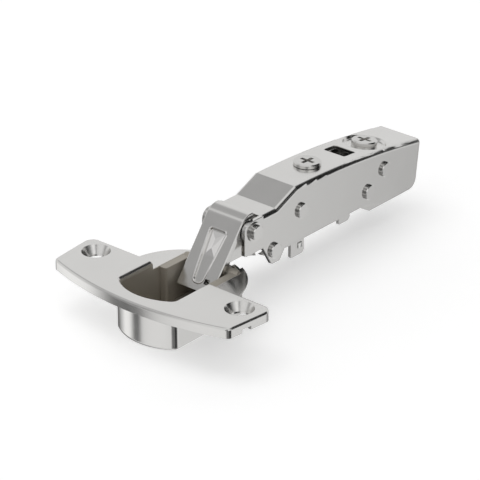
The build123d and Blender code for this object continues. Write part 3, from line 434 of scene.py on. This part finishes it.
class HingeFinish(bpy.types.PropertyGroup):
    """Colours and gloss of the hinge's finishes"""

    plating: bpy.props.FloatVectorProperty(
        name="Plating",
        description="Colour of the nickel plating",
        subtype="COLOR",
        size=3,
        min=0.0,
        max=1.0,
        default=srgb_colour("#e3e2e0"),
    )
    plating_roughness: bpy.props.FloatProperty(
        name="Plating Roughness",
        description="How satin the plating is",
        subtype="FACTOR",
        min=0.05,
        max=0.8,
        default=0.2,
    )
    # Darker, browner colour inside the cup, which is painted shade
    cup_inside_shade: bpy.props.FloatVectorProperty(
        name="Cup Inside Shade",
        description="Colour of the painted shade inside the cup",
        subtype="COLOR",
        size=3,
        min=0.0,
        max=1.0,
        default=srgb_colour("#b3ada2"),
    )
    plastic: bpy.props.FloatVectorProperty(
        name="Plastic",
        description="Colour of the moulded parts inside the arm",
        subtype="COLOR",
        size=3,
        min=0.0,
        max=1.0,
        default=srgb_colour("#1c1c1d"),
    )


class HingeStudio(bpy.types.PropertyGroup):
    """Place and lens of the camera, and the floor's colour"""

    azimuth: bpy.props.FloatProperty(
        name="Azimuth",
        description="Direction the camera stands in, from the front towards the right",
        subtype="ANGLE",
        unit="ROTATION",
        default=radians(40.93),
    )
    elevation: bpy.props.FloatProperty(
        name="Elevation",
        description="Height of the camera above the horizon",
        subtype="ANGLE",
        unit="ROTATION",
        default=radians(26.47),
    )
    roll: bpy.props.FloatProperty(
        name="Roll",
        description="Turn of the camera about its own axis",
        subtype="ANGLE",
        unit="ROTATION",
        default=radians(-0.31),
    )
    distance: bpy.props.FloatProperty(
        name="Distance",
        description="From the camera to the point it looks at",
        subtype="DISTANCE",
        unit="LENGTH",
        min=0.1,
        default=0.7231,
    )
    focal_mm: bpy.props.FloatProperty(
        name="Focal Length",
        description="Lens of the camera in millimetres on a 36 mm sensor",
        min=20.0,
        default=200.72,
    )
    floor_colour: bpy.props.FloatVectorProperty(
        name="Floor",
        description="Colour of the floor",
        subtype="COLOR",
        size=3,
        min=0.0,
        max=1.0,
        default=srgb_colour("#f8f8f8"),
    )


# Pieces


class HINGE_OT_cup(bpy.types.Operator):
    """Plates the cup with its flange and the cradle in it"""

    bl_idname = "hinge.cup"
    bl_label = "Cup and Flange"

    def execute(self, context):
        finish = context.scene.hinge_finish
        cup = plated_steel(
            "plated_cup", finish.plating, finish.plating_roughness, inside=finish.cup_inside_shade
        )
        # The cradle in the cup takes the cup's inside colour all over, which is painted shade
        cradle = plated_steel(
            "cradle_steel", finish.cup_inside_shade, INSIDE_ROUGHNESS, metallic=INSIDE_METALLIC
        )
        dress(cup, "cup")
        dress(cradle, "axle_cradle")
        return {"FINISHED"}


class HINGE_OT_links(bpy.types.Operator):
    """Plates the two links and gives their pins bare bright steel"""

    bl_idname = "hinge.links"
    bl_label = "Links and Pins"

    def execute(self, context):
        finish = context.scene.hinge_finish
        link = plated_steel("plated_link", finish.plating, finish.plating_roughness)
        pin = plated_steel("pin_steel", finish.plating, PIN_ROUGHNESS)
        dress(link, "outer_link", "inner_link")
        dress(pin, "outer_link_axle", "inner_link_axle", "axle_spacers")
        dress(pin, "roller_pin", "damper_piston")
        return {"FINISHED"}


class HINGE_OT_arm(bpy.types.Operator):
    """Plates the arm, its rivets, the adjusting channel and the clip carriage"""

    bl_idname = "hinge.arm"
    bl_label = "Arm and Rivets"

    def execute(self, context):
        finish = context.scene.hinge_finish
        satin = finish.plating_roughness
        arm = plated_steel("plated_arm", finish.plating, satin, edge=ARM_EDGE)
        rivet = plated_steel(
            "rivet_steel", finish.plating, satin - RIVET_POLISH, edge=TURNED_EDGE
        )
        channel = plated_steel("plated_channel", finish.plating, satin)
        dress(arm, "hinge_arm")
        dress(rivet, "front_pivot_rivet", "pivot_washers", "inner_pivot_rivet", "arm_rivets")
        dress(channel, "adjusting_channel", "clip_carriage")
        return {"FINISHED"}


class HINGE_OT_pressings(bpy.types.Operator):
    """Adds the fine pressed forms: bead and facet of the link's panel, pads of the clip tabs"""

    bl_idname = "hinge.pressings"
    bl_label = "Pressed Forms"

    def execute(self, context):
        add_piece("panel_rim", panel_rim(), "outer_link_unit", "plated_link")
        add_piece("panel_facet", panel_facet(), "outer_link_unit", "plated_link")
        add_piece("tab_pads", tab_pads(), "carriage_unit", "plated_channel")
        return {"FINISHED"}


class HINGE_OT_screws(bpy.types.Operator):
    """Plates the two adjusting screws"""

    bl_idname = "hinge.screws"
    bl_label = "Adjusting Screws"

    def execute(self, context):
        colour = scaled(context.scene.hinge_finish.plating, SCREW_TINT)
        screw = plated_steel("screw_steel", colour, SCREW_ROUGHNESS, edge=TURNED_EDGE)
        dress(screw, "side_screw", "depth_screw")
        return {"FINISHED"}


class HINGE_OT_mechanism(bpy.types.Operator):
    """Finishes the spring, damper and levers inside the arm"""

    bl_idname = "hinge.mechanism"
    bl_label = "Mechanism"

    def execute(self, context):
        finish = context.scene.hinge_finish
        # Zinc die casting is greyer and duller than the plated sheet, and spring wire is darker
        casting = plated_steel("zinc_casting", srgb_colour("#8f9092"), roughness=0.42)
        spring = plated_steel("spring_steel", srgb_colour("#77787b"), roughness=0.3)
        # The three plastics differ in colour and gloss, and share their grain
        black = moulded_plastic("black_plastic", finish.plastic, roughness=0.45)
        damper = moulded_plastic("damper_plastic", srgb_colour("#3a3a3c"), roughness=0.35)
        roller = moulded_plastic("roller_plastic", srgb_colour("#d8d4c8"), roughness=0.4)
        dress(casting, "control_lever", "release_lever")
        dress(spring, "closing_spring", "release_spring")
        dress(black, "spring_seat", "spring_plunger")
        dress(damper, "damper_cylinder")
        dress(roller, "lever_roller")
        return {"FINISHED"}


# Studio

# Half the floor's side, and how far it lies under the cup so that the two don't touch
FLOOR_HALF = 1.5
FLOOR_GAP = 0.05 * MM

# Glow that the floor has for the camera alone, which brings it close to white and adds no light
# to the hinge
FLOOR_LIFT = 0.4

# Brightness of the studio's bare white walls
STUDIO_LEVEL = 0.99

# Surfaces of the studio, later ones over earlier ones: label, azimuth from the front towards the
# right, elevation, inner and outer half-angle, all in degrees, and brightness
STUDIO_SURFACES = (
    ("rear flag, lower end", 134.0, 10.0, 13.0, 20.0, 0.01),
    ("rear flag, middle", 147.0, 34.0, 16.0, 24.0, 0.01),
    ("rear flag, upper end", 172.0, 47.0, 8.0, 16.0, 0.03),
    ("rear flag, near side", 107.0, 42.0, 15.0, 22.0, 0.02),
    ("rear flag, near end", 118.0, 8.0, 12.0, 19.0, 0.02),
    ("front left flag, upper end", -37.0, 2.0, 9.0, 18.0, 0.25),
    ("left wall", -104.0, 52.0, 14.0, 24.0, 0.54),
    ("front left wall", -44.0, 33.0, 12.0, 22.0, 0.5),
    ("right flag", 83.0, -26.0, 13.0, 22.0, 0.02),
    ("left flag", -117.0, -27.0, 12.0, 22.0, 0.2),
    ("floor flag", -99.0, -50.0, 15.0, 26.0, 0.08),
    ("front left lamp", -71.0, -26.0, 7.0, 13.0, 1.35),
    ("front left flag", -44.0, -26.0, 4.0, 12.0, 0.1),
    ("front screen", 0.0, -22.0, 12.0, 28.0, 1.08),
    ("rear right screen", 158.0, -25.0, 10.0, 17.0, 0.4),
    ("flag over the camera", 50.0, 42.0, 9.0, 17.0, 0.25),
    ("flag under the camera", 37.0, 4.0, 17.0, 24.0, 0.14),
    ("low flag under the camera", 52.0, -34.0, 12.0, 21.0, 0.2),
    ("low right floor flag", 95.0, -54.0, 14.0, 22.0, 0.2),
    ("right softbox", 62.0, 26.0, 8.0, 16.0, 1.25),
    ("low left softbox", -150.0, -20.0, 7.0, 14.0, 1.15),
)

# Lamp above the hinge: metres across, watts, where it hangs and where it points
LAMP_SIZE = 0.5
LAMP_POWER = 0.6
LAMP_PLACE = (-0.25, -0.1, 0.7)
LAMP_AIM = (0.0, 0.03, 0.0)

# Point that the camera looks at, and the width of its sensor in millimetres
CAMERA_TARGET = Vector((9.70, 13.65, 10.51)) * MM
SENSOR_WIDTH = 36.0


def studio_direction(azimuth, elevation):
    """Unit vector from the hinge towards a place in the studio."""
    return (
        sin(azimuth) * cos(elevation),
        -cos(azimuth) * cos(elevation),
        sin(elevation),
    )


class HINGE_OT_stage(bpy.types.Operator):
    """Sets up the floor, the studio's surroundings, the lamp and the camera"""

    bl_idname = "hinge.stage"
    bl_label = "Studio"

    def execute(self, context):
        self.floor(context)
        self.surroundings(context)
        self.lamp(context)
        self.camera(context)
        return {"FINISHED"}

    def floor(self, context):
        """Pale floor just under the cup, which reflections look past to the studio."""
        colour = context.scene.hinge_studio.floor_colour
        material, tree, shader = new_material("pale_floor")
        shader.inputs["Base Color"].default_value = (*colour, 1.0)
        shader.inputs["Roughness"].default_value = 0.9
        shader.inputs["Specular IOR Level"].default_value = 0.0
        seen = add_node(tree, "ShaderNodeLightPath").outputs["Is Camera Ray"]
        lift = add_node(
            tree, "ShaderNodeMath", {"operation": "MULTIPLY"}, i0=seen, i1=FLOOR_LIFT
        ).outputs[0]
        tree.links.new(lift, shader.inputs["Emission Strength"])
        shader.inputs["Emission Color"].default_value = (1.0, 1.0, 1.0, 1.0)
        level = CAD_BOUNDS[0][2] - FLOOR_GAP
        corners = [
            (-FLOOR_HALF, -FLOOR_HALF, level),
            (FLOOR_HALF, -FLOOR_HALF, level),
            (FLOOR_HALF, FLOOR_HALF, level),
            (-FLOOR_HALF, FLOOR_HALF, level),
        ]
        mesh = bpy.data.meshes.new("floor")
        mesh.from_pydata(corners, [], [(0, 1, 2, 3)])
        mesh.materials.append(material)
        floor = bpy.data.objects.new("floor", mesh)
        context.scene.collection.objects.link(floor)
        floor.visible_glossy = False

    def surroundings(self, context):
        """Bright studio with a few darker and lighter surfaces in fixed directions."""
        world = bpy.data.worlds.new("studio")
        context.scene.world = world
        world.use_nodes = True
        tree = world.node_tree
        tree.nodes.clear()
        direction = add_node(tree, "ShaderNodeTexCoord").outputs["Generated"]
        level = add_node(tree, "ShaderNodeValue").outputs[0]
        level.default_value = STUDIO_LEVEL
        for label, azimuth, elevation, inner, outer, brightness in STUDIO_SURFACES:
            facing = add_node(
                tree,
                "ShaderNodeVectorMath",
                {"operation": "DOT_PRODUCT", "label": label},
                i0=direction,
                i1=studio_direction(radians(azimuth), radians(elevation)),
            ).outputs["Value"]
            cover = add_node(
                tree,
                "ShaderNodeMapRange",
                {"interpolation_type": "SMOOTHSTEP"},
                Value=facing,
                From_Min=cos(radians(outer)),
                From_Max=cos(radians(inner)),
            ).outputs["Result"]
            level = add_node(
                tree, "ShaderNodeMix", i0=cover, i2=level, i3=brightness
            ).outputs[0]
        seen = add_node(tree, "ShaderNodeLightPath").outputs["Is Camera Ray"]
        level = add_node(tree, "ShaderNodeMix", i0=seen, i2=level, i3=1.0).outputs[0]
        background = add_node(tree, "ShaderNodeBackground", Strength=level)
        add_node(tree, "ShaderNodeOutputWorld", Surface=background.outputs["Background"])

    def lamp(self, context):
        """One broad soft lamp above, which gives the parts their faint shadows."""
        data = bpy.data.lights.new("overhead_softbox", "AREA")
        data.shape = "DISK"
        data.size = LAMP_SIZE
        data.energy = LAMP_POWER
        lamp = bpy.data.objects.new("overhead_softbox", data)
        lamp.location = LAMP_PLACE
        aim = Vector(LAMP_AIM) - lamp.location
        lamp.rotation_euler = aim.to_track_quat("-Z", "Y").to_euler()
        lamp.visible_glossy = False
        context.scene.collection.objects.link(lamp)

    def camera(self, context):
        """Long lens at the photograph's angle, looking at the middle of the hinge."""
        studio = context.scene.hinge_studio
        data = bpy.data.cameras.new("camera")
        data.lens = studio.focal_mm
        data.sensor_width = SENSOR_WIDTH
        camera = bpy.data.objects.new("camera", data)
        back = Vector(studio_direction(studio.azimuth, studio.elevation))
        camera.location = CAMERA_TARGET + back * studio.distance
        turn = (-back).to_track_quat("-Z", "Y")
        camera.rotation_mode = "QUATERNION"
        camera.rotation_quaternion = Quaternion(back, studio.roll) @ turn
        context.scene.collection.objects.link(camera)
        context.scene.camera = camera
        context.scene.view_settings.view_transform = "Standard"


OPERATORS = (
    HINGE_OT_cup,
    HINGE_OT_links,
    HINGE_OT_arm,
    HINGE_OT_pressings,
    HINGE_OT_screws,
    HINGE_OT_mechanism,
    HINGE_OT_stage,
)


class HINGE_PT_panel(bpy.types.Panel):
    """Lists the settings and the operators in the sidebar"""

    bl_label = "Cup Hinge"
    bl_idname = "HINGE_PT_panel"
    bl_space_type = "VIEW_3D"
    bl_region_type = "UI"
    bl_category = "Cup Hinge"

    def draw(self, context):
        scene = context.scene
        for group in (scene.hinge_finish, scene.hinge_studio):
            box = self.layout.box()
            for name in group.__annotations__:
                box.prop(group, name)
        for operator in OPERATORS:
            self.layout.operator(operator.bl_idname)


CLASSES = (HingeFinish, HingeStudio, *OPERATORS, HINGE_PT_panel)


def register():
    for cls in CLASSES:
        bpy.utils.register_class(cls)
    bpy.types.Scene.hinge_finish = bpy.props.PointerProperty(type=HingeFinish)
    bpy.types.Scene.hinge_studio = bpy.props.PointerProperty(type=HingeStudio)


def unregister():
    del bpy.types.Scene.hinge_studio
    del bpy.types.Scene.hinge_finish
    for cls in reversed(CLASSES):
        bpy.utils.unregister_class(cls)


def main():
    register()
    for operator in OPERATORS:
        group, name = operator.bl_idname.split(".")
        getattr(getattr(bpy.ops, group), name)()


if __name__ == "__main__":
    main()
